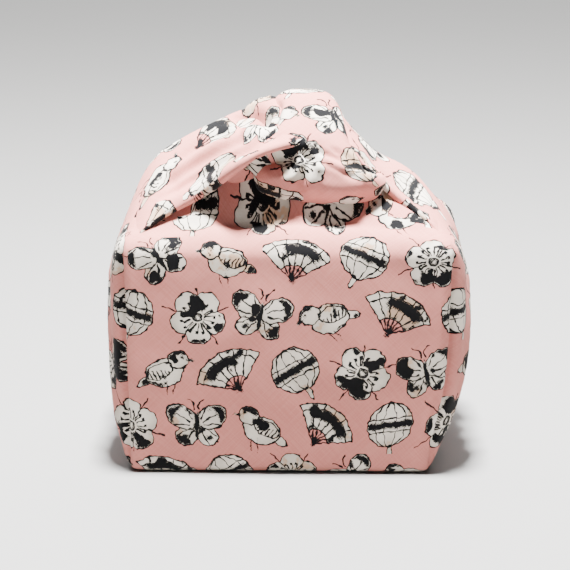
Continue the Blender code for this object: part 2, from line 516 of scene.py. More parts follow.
    def build(self) -> bpy.types.Object:
        """Make the body.

        Returns:
            The open shell, with its cloth thickness applied.
        """
        mesh = bmesh.new()
        bmesh.ops.create_cube(mesh, size=2.0)
        bmesh.ops.subdivide_edges(mesh, edges=mesh.edges[:], cuts=self.cuts, use_grid_fill=True)
        flats = {vert: self.flat_place(vert.co) for vert in mesh.verts}
        layer = mesh.loops.layers.uv.new(UV_NAME)
        spots: dict[Vert, Spot] = {}
        slot_faces = []
        for face in mesh.faces:
            middle = sum((flats[vert] for vert in face.verts), Vector()) / len(face.verts)
            panel = self.panel_of(middle)
            on_top = panel is Panel.TOP
            if on_top:
                panel = self.top_part(middle)
            for loop in face.loops:
                spot = self.cloth_map(panel, flats[loop.vert])
                loop[layer].uv = spot
                if not on_top or loop.vert not in spots:
                    spots[loop.vert] = spot
            across_mouth = self.mouth_front < middle.y < self.mouth_back
            if on_top and across_mouth and abs(middle.x) < self.mouth_half:
                slot_faces.append(face)
        for vert, flat in flats.items():
            vert.co = self.drape(self.lip(flat))
        bmesh.ops.recalc_face_normals(mesh, faces=mesh.faces[:])
        press(mesh, lambda vert: self.relief(vert, spots[vert]))
        bmesh.ops.delete(mesh, geom=slot_faces, context="FACES")
        body = add_object("cloth_body", mesh)
        wall = body.modifiers.new("cloth", "SOLIDIFY")
        wall.thickness = self.shape.cloth
        wall.offset = -1.0
        return body

    def relief(self, vert: Vert, spot: Spot) -> float:
        """Height of the creases and ripples at a draped vertex, from its spot on the flat cloth."""
        low = vert.co.z < FLAT_BASE
        return 0.0 if low else lifts(self.map_creases, *spot) + ripple(Vector((*spot, 0.0)))


def run_length(points: Sequence[Vector]) -> float:
    """Length of a line of points."""
    return sum((end - start).length for start, end in zip(points, points[1:]))


def even_ring(points: Sequence[Vector], count: int) -> tuple[list[Vector], float]:
    """Points at even steps round a closed line.

    Args:
        points: The line's corners, the last joined to the first.
        count: How many points to make.

    Returns:
        The points, starting at the first corner, and the line's length.
    """
    corners = list(points) + [points[0]]
    lengths = [0.0]
    for start, end in zip(corners, corners[1:]):
        lengths.append(lengths[-1] + (end - start).length)
    ring = []
    span = 0
    for index in range(count):
        goal = lengths[-1] * index / count
        while lengths[span + 1] < goal:
            span += 1
        share = (goal - lengths[span]) / (lengths[span + 1] - lengths[span])
        ring.append(corners[span].lerp(corners[span + 1], share))
    return ring, lengths[-1]


def loft(rings: Sequence[Sequence[Vector]], spots: Sequence[Sequence[Spot]]) -> bmesh.types.BMesh:
    """A closed skin over rings of points.

    Args:
        rings: Rings with the same number of points.
        spots: The place on the flat cloth of each ring's points, and of its first point again.

    Returns:
        The mesh, with its cloth map.
    """
    around = len(rings[0])
    mesh = bmesh.new()
    bmesh.ops.create_grid(mesh, x_segments=around, y_segments=len(rings) - 1, size=1.0)
    layer = mesh.loops.layers.uv.new(UV_NAME)
    mesh.verts.ensure_lookup_table()
    cells = {}
    for vert in mesh.verts:
        column = round((vert.co.x + 1) / 2 * around)
        row = round((vert.co.y + 1) / 2 * (len(rings) - 1))
        cells[vert] = (row, column)
    for face in mesh.faces:
        for loop in face.loops:
            row, column = cells[loop.vert]
            loop[layer].uv = spots[row][column]
    for vert, (row, column) in cells.items():
        vert.co = rings[row][column % around]
    bmesh.ops.remove_doubles(mesh, verts=mesh.verts[:], dist=1e-6)
    rim = [edge for edge in mesh.edges if edge.is_boundary]
    bmesh.ops.holes_fill(mesh, edges=rim, sides=0)
    bmesh.ops.triangulate(mesh, faces=[face for face in mesh.faces if len(face.verts) > 4])
    bmesh.ops.recalc_face_normals(mesh, faces=mesh.faces[:])
    return mesh


@dataclass
class Band:
    """A band of gathered cloth from a shoulder into the knot, with its folded front edge."""

    name: str
    shape: Shape
    rows: Rows
    seen_creases: tuple[Crease, ...]
    sections: int = 72
    around: int = 160
    crown: float = 1.6
    fold_radius: float = 0.0019
    return_depth: float = 0.013
    return_drop: float = 0.0035
    tuck_z: float = 0.1175
    tuck_clear: float = 0.003
    ripple_layer: float = 0.5
    facing: float = 0.2
    back_rise: float = 0.8
    arc_steps: int = 26
    fold_steps: int = 6
    return_steps: tuple[Spot, ...] = ((0.5, 0.3), (1.0, 1.0))  # shares of the depth and the drop

    def ring(self, x: float) -> tuple[list[Vector], list[float]]:
        """Section of the band at a place.

        Args:
            x: The place to the right.

        Returns:
            The ring's points, and the reach of each from the ridge over the cloth.
        """
        shape = self.shape
        front = Vector((x, self.rows.at(x, 1), self.rows.at(x, 2)))
        rise = self.rows.at(x, 4)
        ridge = Vector((x, shape.ridge_y, shape.ridge.at(x) + rise))
        back_y = self.rows.at(x, 3)
        back = Vector((x, back_y, shape.top(x, back_y) + rise * self.back_rise))
        outer = []
        for step in range(2 * self.arc_steps + 1):
            edge = front if step <= self.arc_steps else back
            reach = abs(step - self.arc_steps) / self.arc_steps
            y = ridge.y + (edge.y - ridge.y) * reach
            outer.append(Vector((x, y, ridge.z + (edge.z - ridge.z) * reach ** self.crown)))
        line = list(outer)
        line += self.turn_under(outer[-1], outer[-2], -1.0)
        tuck_z = min(self.tuck_z, front.z - self.return_drop, back.z - self.return_drop)
        line.append(Vector((x, back_y - self.return_depth, tuck_z)))
        line.append(Vector((x, front.y + 2 * self.return_depth, tuck_z)))
        line += reversed(self.turn_under(outer[0], outer[1], 1.0))
        ring, length = even_ring(line, self.around)
        to_ridge = run_length(outer[:self.arc_steps + 1])
        return ring, [length * index / self.around - to_ridge for index in range(self.around + 1)]

    def turn_under(self, edge: Vector, before: Vector, side: float) -> list[Vector]:
        """Fold of the cloth under an edge.

        Args:
            edge: The edge point.
            before: The point next to it on the outside.
            side: 1 at the front, -1 at the back.

        Returns:
            Points round the fold and along the returning layer.
        """
        along = (edge - before).normalized()
        inward = Vector((0, along.z, -along.y)) * side
        if inward.z > 0:
            inward = -inward
        points = []
        for step in range(1, self.fold_steps + 1):
            angle = math.pi * step / self.fold_steps
            ahead = along * math.sin(angle) * self.fold_radius
            points.append(edge + ahead + inward * self.fold_radius * (1 - math.cos(angle)))
        last = points[-1]
        for back, drop in self.return_steps:
            down = Vector((0, 0, -self.return_drop * drop))
            points.append(last - along * self.return_depth * back + down)
        return points

    def build(self) -> bpy.types.Object:
        """Make the band.

        Returns:
            The band's object.
        """
        start, end = self.rows.rows[0][0], self.rows.rows[-1][0]
        rings, spots = [], []
        shape = self.shape
        outside = 1.0 if start + end > 0 else -1.0
        for index in range(self.sections + 1):
            x = start + (end - start) * index / self.sections
            ring, reaches = self.ring(x)
            rings.append(ring)
            inward = (shape.half_width - outside * x) * SHOULDER_STRETCH
            across = shape.half_width + shape.half_depth + shape.ridge_y
            spots.append([(outside * (across + reach), shape.top_z + inward) for reach in reaches])
        mesh = loft(rings, spots)
        layer = mesh.loops.layers.uv.active
        places = {}
        for face in mesh.faces:
            for loop in face.loops:
                places.setdefault(loop.vert, tuple(loop[layer].uv))
        press(mesh, lambda vert: self.relief(vert, places[vert]))
        return add_object("band_" + self.name, mesh)

    def relief(self, vert: Vert, spot: Spot) -> float:
        """Height of the creases and ripples at a vertex.

        Args:
            vert: The vertex.
            spot: Its place on the flat cloth.

        Returns:
            The lift in metres.
        """
        if vert.co.z < self.tuck_z + self.tuck_clear:
            return 0.0
        front = vert.normal.y < self.facing and vert.co.y < SEEN_FROM_FRONT
        height = lifts(self.seen_creases, *sight(vert.co)) if front else 0.0
        return height + ripple(Vector((*spot, self.ripple_layer)))


@dataclass
class Knot:
    """The turn of cloth that wraps the crossing bands."""

    shape: Shape
    rows: tuple[tuple[float, ...], ...] = (
        # y, z, left_x, right_x, depth, tilt
        (-0.0290, 0.1310, -0.0160, 0.0400, 0.0140, 0.0030),
        (-0.0385, 0.1355, -0.0250, 0.0460, 0.0230, 0.0040),
        (-0.0455, 0.1440, -0.0290, 0.0480, 0.0300, 0.0040),
        (-0.0465, 0.1560, -0.0250, 0.0420, 0.0300, 0.0030),
        (-0.0380, 0.1690, -0.0160, 0.0315, 0.0240, 0.0010),
        (-0.0210, 0.1800, -0.0095, 0.0270, 0.0180, 0.0000),
        (-0.0050, 0.1855, -0.0090, 0.0240, 0.0180, 0.0000),
        (0.0110, 0.1830, -0.0090, 0.0240, 0.0180, 0.0000),
        (0.0240, 0.1720, -0.0120, 0.0280, 0.0180, 0.0000),
        (0.0330, 0.1560, -0.0180, 0.0340, 0.0180, 0.0000),
        (0.0360, 0.1400, -0.0240, 0.0420, 0.0160, 0.0000),
        (0.0310, 0.1240, -0.0200, 0.0400, 0.0120, 0.0000),
    )
    sections: int = 128
    around: int = 144
    square: float = 2.2
    slope_reach: float = 0.2
    seen_creases: tuple[Crease, ...] = creases(
        # line, height, width, sharpness
        (((-5.4, 180.7), (-6.4, 173.5), (-7.5, 168.4), (-9, 164.3)), -2.6, 2.4),
        (((5.2, 155.1), (11.3, 149.9), (9.3, 142.6), (5.8, 135.3), (4.2, 129.1)), -3.6, 3),
        (
            ((-31.5, 136.4), (-25.3, 141.6), (-16.1, 148.3), (-2.9, 152.5), (5.7, 155.1)),
            -9.5, 11, 0.15,
        ),
        (((-20.3, 135.3), (-10.1, 138.5), (2.2, 139.5)), 1.6, 2.4),
        (((-17.2, 139.5), (-7.5, 142.6), (3.2, 144.7)), 1.2, 1.6),
        (((-19.3, 132.7), (-9, 133.3), (3.2, 132.2)), 1.6, 3),
        (((13.4, 154.5), (28.1, 148.9), (40.9, 143.1)), -1.9, 1.6),
        (((20.5, 155.6), (31.7, 150.4), (43, 143.1)), -1.4, 1.3),
        (((14.4, 148.9), (25.6, 143.7), (35.9, 138.5)), -1, 1.5),
        (((15.5, 135.3), (28.3, 133.3), (39, 136.4)), 1.8, 5),
        (((13.4, 144.7), (20.5, 146.8), (30.7, 142.6)), 1, 3),
    )

    def build(self) -> bpy.types.Object:
        """Make the knot's outer turn.

        Returns:
            The knot's object.
        """
        table = Rows(*((float(i), *row) for i, row in enumerate(self.rows)))
        last = len(self.rows) - 1.0
        step = last / self.sections
        rings, spots = [], []
        travelled = 0.0
        before = None
        for index in range(self.sections + 1):
            place = index * step
            y, z, left, right, depth, tilt = (table.at(place, column) for column in range(1, 7))
            near, far = max(0.0, place - self.slope_reach), min(last, place + self.slope_reach)
            along, up = (table.at(far, column) - table.at(near, column) for column in (1, 2))
            ahead = Vector((0, along, up)).normalized()
            outward = Vector((0, -ahead.z, ahead.y))
            here = Vector((0, y, z))
            travelled += (here - before).length if before else 0.0
            before = here
            middle, reach = (left + right) / 2, (right - left) / 2
            ring = []
            for turn in range(self.around):
                angle = 2 * math.pi * turn / self.around - math.pi / 2
                side = signed_power(math.cos(angle), 2 / self.square)
                rise = signed_power(math.sin(angle), 2 / self.square)
                surface = Vector((middle + reach * side, y, z - tilt * side))
                ring.append(surface + outward * (rise - 1) * depth / 2)
            ring, length = even_ring(ring, self.around)
            rings.append(ring)
            spots.append([
                (KNOT_MAP_U + length * (turn / self.around - 0.5), KNOT_MAP_V + travelled)
                for turn in range(self.around + 1)
            ])
        mesh = loft(rings, spots)
        press(mesh, self.relief)
        return add_object("knot_turn", mesh)

    def relief(self, vert: Vert) -> float:
        """Height of the creases and ripples at a vertex."""
        seen = lifts(self.seen_creases, *sight(vert.co)) if vert.co.y < SEEN_FROM_FRONT else 0.0
        return seen + ripple(vert.co, KNOT_RIPPLES)


@dataclass
class InnerLayers:
    """The plies of cloth that lie folded inside the walls."""

    thickness: float = 0.0009
    cuts: int = 10
    plies: tuple[tuple[str, Spot, Spot, float], ...] = (
        # axis across the ply, first range, second range, place on the axis
        ("z", (-0.068, 0.068), (-0.044, 0.034), 0.1165),
        ("y", (-0.068, 0.068), (0.012, 0.108), -0.0525),
        ("y", (-0.068, 0.068), (0.012, 0.108), 0.0525),
        ("y", (-0.062, 0.062), (0.016, 0.100), 0.0505),
        ("x", (-0.040, 0.036), (0.016, 0.106), -0.0790),
        ("x", (-0.040, 0.036), (0.016, 0.106), 0.0760),
    )

    def build(self) -> bpy.types.Object:
        """Make the plies.

        Returns:
            One object of closed thin sheets.
        """
        mesh = bmesh.new()
        layer = mesh.loops.layers.uv.new(UV_NAME)
        for axis, first, second, place in self.plies:
            made = bmesh.ops.create_grid(mesh, x_segments=self.cuts, y_segments=self.cuts, size=0.5)
            for vert in made["verts"]:
                a = first[0] + (vert.co.x + 0.5) * (first[1] - first[0])
                b = second[0] + (vert.co.y + 0.5) * (second[1] - second[0])
                vert.co = {"x": (place, a, b), "y": (a, place, b), "z": (a, b, place)}[axis]
                for loop in vert.link_loops:
                    loop[layer].uv = (a, b + INNER_MAP_V)
        item = add_object("inner_layers", mesh)
        wall = item.modifiers.new("cloth", "SOLIDIFY")
        wall.thickness = self.thickness
        wall.offset = 0.0
        return item


def join(name: str, pieces: Sequence[bpy.types.Object]) -> bpy.types.Object:
    """Join pieces into one, with their modifiers applied.

    Args:
        name: Name of the joined piece.
        pieces: The pieces, which are removed.

    Returns:
        The joined piece.
    """
    bpy.context.view_layer.update()
    depsgraph = bpy.context.evaluated_depsgraph_get()
    mesh = bmesh.new()
    for piece in pieces:
        finished = bpy.data.meshes.new_from_object(piece.evaluated_get(depsgraph))
        mesh.from_mesh(finished)
        bpy.data.meshes.remove(finished)
    for piece in pieces:
        bpy.data.objects.remove(piece, do_unlink=True)
    return add_object(name, mesh)


@dataclass(frozen=True)
class Lamp:
    """A soft square light, in metres and watts."""

    name: str
    place: Place
    aim: Place
    size: float
    power: float

    def hang(self) -> None:
        """Add the light to the scene, facing its aim."""
        data = bpy.data.lights.new(self.name, "AREA")
        data.size, data.energy = self.size, self.power
        lamp = bpy.data.objects.new(self.name, data)
        lamp.location = self.place
        ahead = Vector(self.aim) - Vector(self.place)
        lamp.rotation_euler = ahead.to_track_quat("-Z", "Y").to_euler()
        bpy.context.scene.collection.objects.link(lamp)


@dataclass(frozen=True)
class Studio:
    """The plain pale floor, the soft light and the camera."""

    elevation: float = 15.0
    azimuth: float = 1.2
    distance: float = 1.0
    view_limit: float = 20.0
    lens: float = 122.0
    look_at: Place = (-0.0024, 0.0, 0.083)
    floor_size: float = 12.0
    floor_colour: Linear = (0.24, 0.237, 0.232, 1.0)
    floor_roughness: float = 0.9
    sky_colour: Linear = (0.9, 0.9, 0.9, 1.0)
    sky_strength: float = 0.10
    lamps: tuple[Lamp, ...] = (
        Lamp("overhead", (0.0, -0.065, 1.2), (0.0, 0.0, 0.08), 0.16, 180.0),
        Lamp("front_fill", (-0.6, -1.9, 0.20), (0.0, 0.0, 0.04), 1.0, 1.5),
        Lamp("ceiling", (0.0, 3.2, 4.0), (0.0, 2.6, 0.0), 5.0, 560.0),
    )

    def camera(self) -> None:
        """Place the camera at the photograph's angle."""
        turn, rise = math.radians(self.azimuth), math.radians(self.elevation)
        level = math.cos(rise)
        away = Vector((math.sin(turn) * level, -math.cos(turn) * level, math.sin(rise)))
        data = bpy.data.cameras.new("camera")
        data.lens, data.clip_end = self.lens, self.view_limit
        camera = bpy.data.objects.new("camera", data)
        camera.location = Vector(self.look_at) + away * self.distance
        camera.rotation_euler = (-away).to_track_quat("-Z", "Y").to_euler()
        bpy.context.scene.collection.objects.link(camera)
        bpy.context.scene.camera = camera

    def floor(self) -> None:
        """Lay the floor."""
        mesh = bmesh.new()
        bmesh.ops.create_grid(mesh, x_segments=1, y_segments=1, size=self.floor_size / 2)
        floor = add_object("floor", mesh)
        material = bpy.data.materials.new("pale_floor")
        material.use_nodes = True
        shader = material.node_tree.nodes["Principled BSDF"]
        shader.inputs["Base Color"].default_value = self.floor_colour
        shader.inputs["Roughness"].default_value = self.floor_roughness
        floor.data.materials.append(material)

    def build(self) -> None:
        """Set up the whole studio."""
        self.camera()
        self.floor()
        for lamp in self.lamps:
            lamp.hang()
        world = bpy.data.worlds.new("studio")
        world.use_nodes = True
        sky = world.node_tree.nodes["Background"]
        sky.inputs["Color"].default_value = self.sky_colour
        sky.inputs["Strength"].default_value = self.sky_strength
        bpy.context.scene.world = world


LEFT_BAND = Band(
    name="left",
    shape=SHAPE,
    rows=Rows(
        # x, front_y, front_z, back_y, rise
        (-0.0840, -0.0480, 0.1060, 0.0330, -0.0080),
        (-0.0790, -0.0500, 0.1150, 0.0330, -0.0025),
        (-0.0720, -0.0480, 0.1230, 0.0320, 0.0010),
        (-0.0655, -0.0450, 0.1280, 0.0310, 0.0035),
        (-0.0570, -0.0415, 0.1330, 0.0300, 0.0045),
        (-0.0457, -0.0385, 0.1385, 0.0290, 0.0050),
        (-0.0350, -0.0430, 0.1465, 0.0280, 0.0050),
        (-0.0265, -0.0485, 0.1545, 0.0270, 0.0050),
        (-0.0175, -0.0490, 0.1612, 0.0260, 0.0050),
        (-0.0050, -0.0460, 0.1655, 0.0250, 0.0045),
        (0.0100, -0.0380, 0.1680, 0.0240, 0.0030),
    ),
    seen_creases=creases(
        # line, height, width, sharpness
        (
            ((-67.4, 128), (-56, 135.9), (-43.2, 143.7),
             (-29.3, 153), (-14.1, 160.2), (-2.4, 163.3)),
            -3.4, 3, 0.6,
        ),
        (((-63.9, 124.4), (-45.8, 133.3), (-29.4, 143.7), (-17.1, 151.4)), 1.8, 3),
        (
            ((-66.3, 133.3), (-58.5, 140), (-50.8, 145.2),
             (-42.1, 150.4), (-27.8, 159.2), (-14.1, 165.4)),
            -3.6, 3, 0.7,
        ),
        (((-63.6, 139.5), (-53.3, 146.8), (-43.1, 153.5), (-29.3, 161.2)), 1.6, 3.4),
        (((-61, 146.3), (-48.1, 155.1), (-32.8, 163.8), (-20.1, 168.4)), -2.4, 3, 0.7),
        (((-30.4, 149.9), (-22.2, 154.5), (-14.1, 157.1)), -1.6, 1.5),
        (((-31.2, 170), (-25.2, 173), (-19.1, 173.5), (-13, 172.5), (-3.9, 170.5)), -8, 4, 0.5),
        (((-31.2, 173.5), (-20.1, 178.1), (-3.9, 179.7)), 2.4, 3),
        (((-25.2, 165.4), (-14, 166.4)), 1.2, 3),
    ),
)
RIGHT_BAND = Band(
    name="right",
    shape=SHAPE,
    rows=Rows(
        # x, front_y, front_z, back_y, rise
        (0.0180, -0.0160, 0.1660, 0.0240, 0.0030),
        (0.0300, -0.0240, 0.1610, 0.0250, 0.0045),
        (0.0370, -0.0290, 0.1550, 0.0260, 0.0050),
        (0.0420, -0.0300, 0.1500, 0.0270, 0.0050),
        (0.0480, -0.0300, 0.1440, 0.0280, 0.0050),
        (0.0540, -0.0305, 0.1385, 0.0290, 0.0050),
        (0.0600, -0.0325, 0.1345, 0.0300, 0.0045),
        (0.0660, -0.0360, 0.1300, 0.0310, 0.0035),
        (0.0720, -0.0420, 0.1250, 0.0320, 0.0010),
        (0.0790, -0.0490, 0.1150, 0.0330, -0.0025),
        (0.0840, -0.0480, 0.1060, 0.0330, -0.0080),
    ),
    seen_creases=creases(
        # line, height, width, sharpness
        (((33.7, 148.9), (45.1, 138.5), (59, 127.5), (72, 116.5)), 1.6, 3),
        (((33.7, 153), (48.6, 142.6), (62.5, 131.7), (75.1, 118.6)), -2, 3.4, 0.7),
        (((38.8, 153), (53.6, 144.7), (69.2, 132.2)), -1.2, 2.2),
    ),
)


def math_step(operation: str) -> Callable[..., "Value"]:
    """A method that works a number out with one Math node."""
    return lambda self, *others: self.nodes.number(operation, self, *others)


class Value:
    """A number that the cloth's nodes work out."""

    def __init__(self, nodes: "Nodes", socket: Socket) -> None:
        """Keep the socket that carries the number."""
        self.nodes, self.socket = nodes, socket

    __add__ = math_step("ADD")
    __sub__ = math_step("SUBTRACT")
    __mul__ = math_step("MULTIPLY")
    __abs__ = math_step("ABSOLUTE")
    low = math_step("MINIMUM")
    high = math_step("MAXIMUM")
    floor = math_step("FLOOR")
    sine = math_step("SINE")
    above = math_step("GREATER_THAN")

    def __rsub__(self, other: float) -> "Value":
        """Difference from a plain number."""
        return self.nodes.number("SUBTRACT", other, self)

    def inside(self, soft: float, limit: float = 0.0) -> "Value":
        """1 where the number is below a limit, fading to 0 past it.

        Args:
            soft: Width of the fade.
            limit: Middle of the fade.

        Returns:
            The share from 0 to 1.
        """
        ends = (limit - soft / 2, limit + soft / 2, 1.0, 0.0)
        node = self.nodes.add("ShaderNodeMapRange", self, *ends, interpolation_type="SMOOTHSTEP")
        return Value(self.nodes, node.outputs["Result"])


class Nodes:
    """Builds the nodes of one material."""

    def __init__(self, tree: bpy.types.NodeTree) -> None:
        """Keep the node tree."""
        self.tree = tree

    def add(self, kind: str, *sources: Source, **settings: str) -> bpy.types.Node:
        """Make a node.

        Args:
            kind: The node's type.
            sources: What feeds its first sockets, in order.
            settings: Its options.

        Returns:
            The node.
        """
        node = self.tree.nodes.new(kind)
        for name, value in settings.items():
            setattr(node, name, value)
        for socket, source in zip(node.inputs, sources):
            self.feed(socket, source)
        return node

    def feed(self, socket: Socket, source: Source) -> None:
        """Link a source to a socket, or set the socket's own value.

        Args:
            socket: The socket to feed.
            source: A value, another socket, a number or a tuple.
        """
        if isinstance(source, Value):
            source = source.socket
        if isinstance(source, Socket):
            self.tree.links.new(source, socket)
        else:
            socket.default_value = source

    def number(self, operation: str, *sources: Source) -> Value:
        """Result of a Math node."""
        node = self.add("ShaderNodeMath", *sources, operation=operation)
        return Value(self, node.outputs["Value"])

    def vector(self, operation: str, *sources: Source) -> Socket:
        """Vector that a Vector Math node makes."""
        return self.add("ShaderNodeVectorMath", *sources, operation=operation).outputs["Vector"]

    def length(self, vector: Socket) -> Value:
        """Length of a vector."""
        node = self.add("ShaderNodeVectorMath", vector, operation="LENGTH")
        return Value(self, node.outputs["Value"])

    def join(self, *numbers: Source) -> Socket:
        """Vector of two or three numbers."""
        return self.add("ShaderNodeCombineXYZ", *numbers).outputs["Vector"]

    def split(self, vector: Socket) -> tuple[Value, Value, Value]:
        """The three numbers of a vector."""
        node = self.add("ShaderNodeSeparateXYZ", vector)
        return tuple(Value(self, socket) for socket in node.outputs)

    def turned(self, vector: Socket, angle: Source) -> Socket:
        """Turn a vector about the third axis.

        Args:
            vector: The vector.
            angle: How far it is turned, in radians.

        Returns:
            The turned vector.
        """
        turn = ((0.0, 0.0, 0.0), (0.0, 0.0, 1.0), angle)
        node = self.add("ShaderNodeVectorRotate", vector, *turn, rotation_type="Z_AXIS")
        return node.outputs["Vector"]

    def oval(self, vector: Socket, middle: Spot, radii: Spot, turn: float = 0.0) -> Value:
        """Distance to the outline of an oval, below zero inside it.

        Args:
            vector: Where the distance is wanted.
            middle: The oval's middle.
            radii: Its two radii.
            turn: Its turn in degrees.

        Returns:
            The distance.
        """
        lie = ((*middle, 0.0), (0.0, 0.0, math.radians(turn)), (*radii, 1.0))
        node = self.add("ShaderNodeMapping", vector, *lie, vector_type="TEXTURE")
        size = math.sqrt(radii[0] * radii[1])
        return self.number("MULTIPLY_ADD", self.length(node.outputs["Vector"]), size, -size)

    def noise(
        self,
        vector: Socket,
        scale: float,
        detail: float,
        stretch: Spot = (1.0, 1.0),
        turn: float = 0.0,
    ) -> bpy.types.Node:
        """Make a Noise Texture.

        Args:
            vector: Where it is read.
            scale: Its scale.
            detail: Its detail.
            stretch: Its scale along each axis, once turned.
            turn: Its turn in degrees.

        Returns:
            The node.
        """
        turned = self.turned(vector, math.radians(turn))
        node = self.add("ShaderNodeTexNoise", self.vector("MULTIPLY", turned, (*stretch, 1.0)))
        node.inputs["Scale"].default_value = scale
        node.inputs["Detail"].default_value = detail
        return node

    def grain(self, *settings: Source) -> Value:
        """Number of a Noise Texture that noise() makes with the same settings."""
        return Value(self, self.noise(*settings).outputs["Fac"])

    def mix(self, kind: str, factor: Source, first: Source, second: Source) -> Socket:
        """Blend two colours or vectors.

        Args:
            kind: RGBA or VECTOR.
            factor: Share of the second.
            first: The first.
            second: The second.

        Returns:
            The blend.
        """
        node = self.add("ShaderNodeMix", data_type=kind)
        used = [socket for socket in node.inputs if socket.enabled]
        for socket, source in zip(used, (factor, first, second)):
            self.feed(socket, source)
        return next(socket for socket in node.outputs if socket.enabled)


@dataclass(frozen=True)
class Motifs:
    """The print's motifs, each as distances in millimetres to its fill, its lines and its ink."""

    nodes: Nodes
    place: Socket

    def blossom(self) -> tuple[Value, Value, Value]:
        """Five round petals with stamens.

        Returns:
            The three distances.
        """
        nodes, place = self.nodes, self.place
        x, y, _ = nodes.split(place)
        radius = nodes.length(place)
        angle = nodes.number("ARCTAN2", y, x)
        lobe = abs(nodes.number("COSINE", angle * 2.5))
        fill = radius - (nodes.number("POWER", lobe, 0.55) * 3.4 + 7.6)
        seam = (lobe * radius * 0.4).high(3.4 - radius)
        stamen = abs((angle * 7.5).sine()) * radius * 0.13
        stamen = stamen.high(abs(radius - 4.4) - 1.4)
        dots = abs((angle * 7.5 + 0.6).sine()) * radius * 0.13 - 0.25
        dots = dots.high(abs(radius - 6.2) - 0.35)
        lines = abs(fill).low(seam).low(abs(radius - 1.7)).low(stamen).low(dots)
        return fill, lines, (radius - 1.6).high(0.8 - radius)

    def butterfly(self) -> tuple[Value, Value, Value]:
        """Two pairs of wings with dark tips.

        Returns:
            The three distances.
        """
        nodes, place = self.nodes, self.place
        x, y, _ = nodes.split(place)
        side = abs(x)
        half = nodes.join(side, y)
        upper = nodes.oval(half, (5.9, 3.1), (6.6, 4.7), 33.0)
        lower = nodes.oval(half, (4.2, -4.6), (4.6, 3.9), -38.0)
        body = nodes.oval(place, (0.0, -0.6), (0.9, 5.6))
        feeler = abs(nodes.oval(half, (4.2, 7.6), (3.6, 3.4)))
        feeler = feeler.high(6.4 - y).high(side - 3.2)
        radius = nodes.length(half)
        angle = nodes.number("ARCTAN2", y, side)
        veins = (abs((angle * 6.0).sine()) * radius * 0.16).high(3.0 - radius)
        veins = veins.high(radius - 9.2).high(upper.low(lower) + 0.6)
        lines = abs(upper).low(abs(lower).high(0.0 - upper)).low(veins).low(feeler)
        tips = (9.4 - radius).high(upper + 0.5).low(body)
        spot = nodes.oval(half, (5.0, -5.2), (1.3, 1.1))
        return upper.low(lower).low(body), lines, tips.low(spot)

    def bird(self) -> tuple[Value, Value, Value]:
        """A plump little bird with a folded wing.

        Returns:
            The three distances.
        """
        nodes, place = self.nodes, self.place
        x, y, _ = nodes.split(place)
        body = nodes.oval(place, (-0.2, -1.2), (7.6, 5.8), 14.0)
        head = nodes.oval(place, (5.6, 4.2), (4.1, 3.8))
        tail = nodes.oval(place, (-7.6, -4.4), (4.0, 1.6), 32.0)
        beak = nodes.oval(place, (10.1, 4.0), (1.3, 0.7), -12.0)
        eye = nodes.oval(place, (7.1, 5.1), (0.6, 0.6))
        wing = nodes.oval(place, (-2.0, -0.4), (5.4, 3.1), 24.0)
        near_leg = nodes.oval(place, (0.6, -8.2), (0.28, 2.0), -8.0)
        far_leg = nodes.oval(place, (3.2, -7.8), (0.28, 2.0), -8.0)
        quills = abs(((x + y * 0.5) * 1.9).sine()) * 0.5
        quills = quills.high(wing + 0.5).high(y + 0.4)
        lines = abs(body).high(0.3 - head).low(abs(head)).low(abs(tail).high(0.2 - body))
        crown = head.high(6.2 - y)
        dark = eye.low(beak).low(near_leg).low(far_leg).low(crown)
        return body.low(head).low(tail).low(beak), lines.low(abs(wing)).low(quills), dark

    def fan(self) -> tuple[Value, Value, Value]:
        """An open folding fan with ribs and a band.

        Returns:
            The three distances.
        """
        nodes = self.nodes
        x, y, _ = nodes.split(self.place)
        up = y + 8.2
        radius = nodes.length(nodes.join(x, up))
        angle = nodes.number("ARCTAN2", x, up)
        side = (abs(angle) - 0.93) * radius
        fill = (radius - 17.2).high(side).high(6.2 - radius)
        ribs = (abs((angle * 10.1).sine()) * radius * 0.09).high(side)
        sticks = ribs.high(radius - 6.2)
        folds = ribs.high(radius - 17.0).high(6.0 - radius)
        lines = abs(fill).low(sticks).low(folds).low(abs(radius - 14.6).high(side))
        band = (abs(radius - 12.6) - 2.0).high(side + 0.2)
        return fill, lines, band.high(abs(angle + 0.2) * 8.0 - 4.6).low(radius - 1.1)

    def ball(self) -> tuple[Value, Value, Value]:
        """A wound thread ball with segments, a dark belt and a tassel.

        Returns:
            The three distances.
        """
        nodes, place = self.nodes, self.place
        belt = abs(nodes.split(place)[1] - 1.0)
        ball = nodes.oval(place, (0.0, 1.0), (9.4, 9.2))
        inner, outer = (nodes.oval(place, (0.0, 1.0), (wide, 9.3)) for wide in (2.6, 6.6))
        tassel = nodes.oval(place, (0.4, -10.2), (1.0, 2.6))
        lines = abs(ball).low(abs(inner)).low(abs(outer)).low(abs(tassel))
        lines = lines.low(abs(belt - 2.9).high(ball))
        return ball.low(tassel), lines, (belt - 1.5).high(ball + 0.2)


